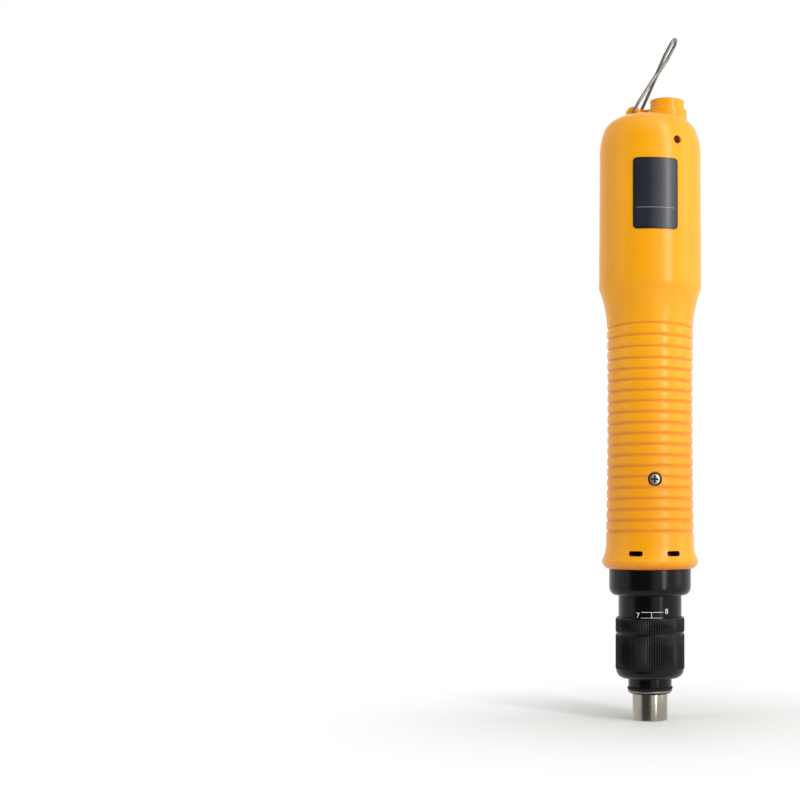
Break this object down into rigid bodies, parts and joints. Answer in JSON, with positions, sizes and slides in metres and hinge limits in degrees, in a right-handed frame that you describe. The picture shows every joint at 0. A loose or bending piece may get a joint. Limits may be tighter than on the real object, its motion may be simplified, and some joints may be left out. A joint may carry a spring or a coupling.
{
  "type": "electric torque screwdriver",
  "caption": "Inline electric screwdriver with ribbed grip, adjustable clutch ring, push start, quick change chuck and hanger bail.",
  "frame": {"origin": "centre of the bit socket's mouth, in the plane of the chuck's lower end", "axes": "+Z along the tool's axis, from the chuck to the dome; -Y is the front, where the rating plate is; +X is the cord socket's side"},
  "size_m": [0.0478, 0.049, 0.3161],
  "materials": {
    "amber_housing": "fine satin moulding",
    "black_nose": "black satin",
    "black_ring": "black anodised, fine flutes",
    "plate_ink": "dark matt print",
    "turned_steel": "turned",
    "hard_steel": "ground",
    "spring_steel": "drawn wire",
    "gear_steel": "hobbed and oiled",
    "bronze": "sintered bronze",
    "contact_brass": "plated",
    "copper_wire": "enamelled winding",
    "motor_aluminium": "die cast",
    "motor_steel": "zinc plated",
    "lamination": "stacked sheet",
    "magnet": "ground",
    "black_plastic": "moulded",
    "board_green": "solder mask",
    "lens_red": "tinted clear",
    "stop_rubber": "matt"
  },
  "bodies": {
    "housing": {"front_shell": "amber_housing", "rear_shell": "amber_housing", "rating_plate": "plate_ink", "led_lens": "lens_red", "shell_screws": "hard_steel", "cord_socket": "amber_housing", "socket_insulator": "black_plastic", "socket_contacts": "contact_brass", "control_board": "board_green", "board_transistors": "black_plastic", "board_capacitor": "motor_aluminium", "reversing_switch_frame": "black_plastic", "start_switch": "black_plastic", "motor_can": "motor_steel", "stator_core": "lamination", "stator_coils": "copper_wire", "motor_bearings": "hard_steel", "motor_mount": "motor_aluminium", "motor_rear_cap": "motor_aluminium", "gear_case": "gear_steel", "output_bearing": "hard_steel", "nose_housing": "black_nose", "stop_o_ring": "stop_rubber", "snap_ring": "spring_steel", "spindle_bush": "bronze"},
    "hanger": {"hanger_bail": "spring_steel"},
    "rocker": {"reversing_rocker": "black_plastic"},
    "plunger": {"start_plunger": "black_plastic"},
    "rotor": {"rotor_shaft": "hard_steel", "rotor_magnet": "magnet", "sun_gear": "gear_steel"},
    "first_carrier": {"first_stage_carrier": "gear_steel"},
    "output_carrier": {"second_stage_carrier": "gear_steel", "clutch_balls": "hard_steel", "start_spring": "spring_steel"},
    "clutch": {"clutch_plate": "hard_steel", "thrust_washer": "hard_steel"},
    "seat": {"spring_seat": "hard_steel", "clutch_spring": "spring_steel"},
    "ring": {"torque_ring": "black_ring"},
    "spindle_body": {"spindle": "hard_steel", "push_rod": "hard_steel", "chuck_seat_ring": "hard_steel", "chuck_balls": "hard_steel", "chuck_spring": "spring_steel"},
    "sleeve": {"chuck_sleeve": "turned_steel", "chuck_sleeve_ring": "hard_steel"},
    "first_planet_1": {"first_stage_planet_1": "gear_steel"},
    "first_planet_2": {"first_stage_planet_2": "gear_steel"},
    "first_planet_3": {"first_stage_planet_3": "gear_steel"},
    "second_planet_1": {"second_stage_planet_1": "gear_steel"},
    "second_planet_2": {"second_stage_planet_2": "gear_steel"},
    "second_planet_3": {"second_stage_planet_3": "gear_steel"}
  },
  "joints": [
    {"name": "hanger_swing", "type": "hinge", "parent": "housing", "child": "hanger", "pos_m": [-0.0074, 0, 0.27955], "axis": [0.2672, 0.9636, 0], "range_deg": [-120, 8]},
    {"name": "reversing_tilt", "type": "hinge", "parent": "housing", "child": "rocker", "pos_m": [0, 0.02142, 0.222], "axis": [1, 0, 0], "range_deg": [-10, 10]},
    {"name": "rotor_spin", "type": "hinge", "parent": "housing", "child": "rotor", "pos_m": [0, 0, 0.13], "axis": [0, 0, 1], "continuous": true},
    {"name": "first_carrier_spin", "type": "hinge", "parent": "housing", "child": "first_carrier", "pos_m": [0, 0, 0.093], "axis": [0, 0, 1], "continuous": true},
    {"name": "output_carrier_spin", "type": "hinge", "parent": "housing", "child": "output_carrier", "pos_m": [0, 0, 0.07], "axis": [0, 0, 1], "continuous": true},
    {"name": "first_planet_1_spin", "type": "hinge", "parent": "first_carrier", "child": "first_planet_1", "pos_m": [0.009, 0, 0.0985], "axis": [0, 0, 1], "continuous": true},
    {"name": "first_planet_2_spin", "type": "hinge", "parent": "first_carrier", "child": "first_planet_2", "pos_m": [-0.0045, 0.00779, 0.0985], "axis": [0, 0, 1], "continuous": true},
    {"name": "first_planet_3_spin", "type": "hinge", "parent": "first_carrier", "child": "first_planet_3", "pos_m": [-0.0045, -0.00779, 0.0985], "axis": [0, 0, 1], "continuous": true},
    {"name": "second_planet_1_spin", "type": "hinge", "parent": "output_carrier", "child": "second_planet_1", "pos_m": [0.009, 0, 0.0876], "axis": [0, 0, 1], "continuous": true},
    {"name": "second_planet_2_spin", "type": "hinge", "parent": "output_carrier", "child": "second_planet_2", "pos_m": [-0.0045, 0.00779, 0.0876], "axis": [0, 0, 1], "continuous": true},
    {"name": "second_planet_3_spin", "type": "hinge", "parent": "output_carrier", "child": "second_planet_3", "pos_m": [-0.0045, -0.00779, 0.0876], "axis": [0, 0, 1], "continuous": true},
    {"name": "spindle_push", "type": "slide", "parent": "output_carrier", "child": "spindle_body", "axis": [0, 0, 1], "range_m": [0, 0.0025], "stiffness_N_per_m": 1000, "springref_m": -0.002, "deforming": ["start_spring"]},
    {"name": "start_plunger_lift", "type": "slide", "parent": "housing", "child": "plunger", "axis": [0, 0, 1], "range_m": [0, 0.0025]},
    {"name": "sleeve_pull", "type": "slide", "parent": "spindle_body", "child": "sleeve", "axis": [0, 0, -1], "range_m": [0, 0.0035], "stiffness_N_per_m": 500, "springref_m": -0.003, "deforming": ["chuck_spring"]},
    {"name": "clutch_lift", "type": "slide", "parent": "output_carrier", "child": "clutch", "axis": [0, 0, -1], "range_m": [0, 0.0011], "stiffness_N_per_m": 800, "springref_m": -0.0035, "deforming": ["clutch_spring"]},
    {"name": "spring_seat_rise", "type": "slide", "parent": "housing", "child": "seat", "axis": [0, 0, 1], "range_m": [-0.00375, 0.0025], "deforming": ["clutch_spring"]},
    {"name": "torque_ring_turn", "type": "hinge", "parent": "seat", "child": "ring", "pos_m": [0, 0, 0.033], "axis": [0, 0, 1], "range_deg": [-1080, 720]}
  ],
  "couplings": [
    {"joint": "first_carrier_spin", "follows": "rotor_spin", "ratio": 0.25},
    {"joint": "output_carrier_spin", "follows": "rotor_spin", "ratio": 0.0625},
    {"joint": "first_planet_1_spin", "follows": "rotor_spin", "ratio": -0.75},
    {"joint": "first_planet_2_spin", "follows": "rotor_spin", "ratio": -0.75},
    {"joint": "first_planet_3_spin", "follows": "rotor_spin", "ratio": -0.75},
    {"joint": "second_planet_1_spin", "follows": "rotor_spin", "ratio": -0.1875},
    {"joint": "second_planet_2_spin", "follows": "rotor_spin", "ratio": -0.1875},
    {"joint": "second_planet_3_spin", "follows": "rotor_spin", "ratio": -0.1875},
    {"joint": "start_plunger_lift", "follows": "spindle_push", "ratio": 1},
    {"joint": "spring_seat_rise", "follows": "torque_ring_turn", "m_per_rad": 0.00019894}
  ]
}
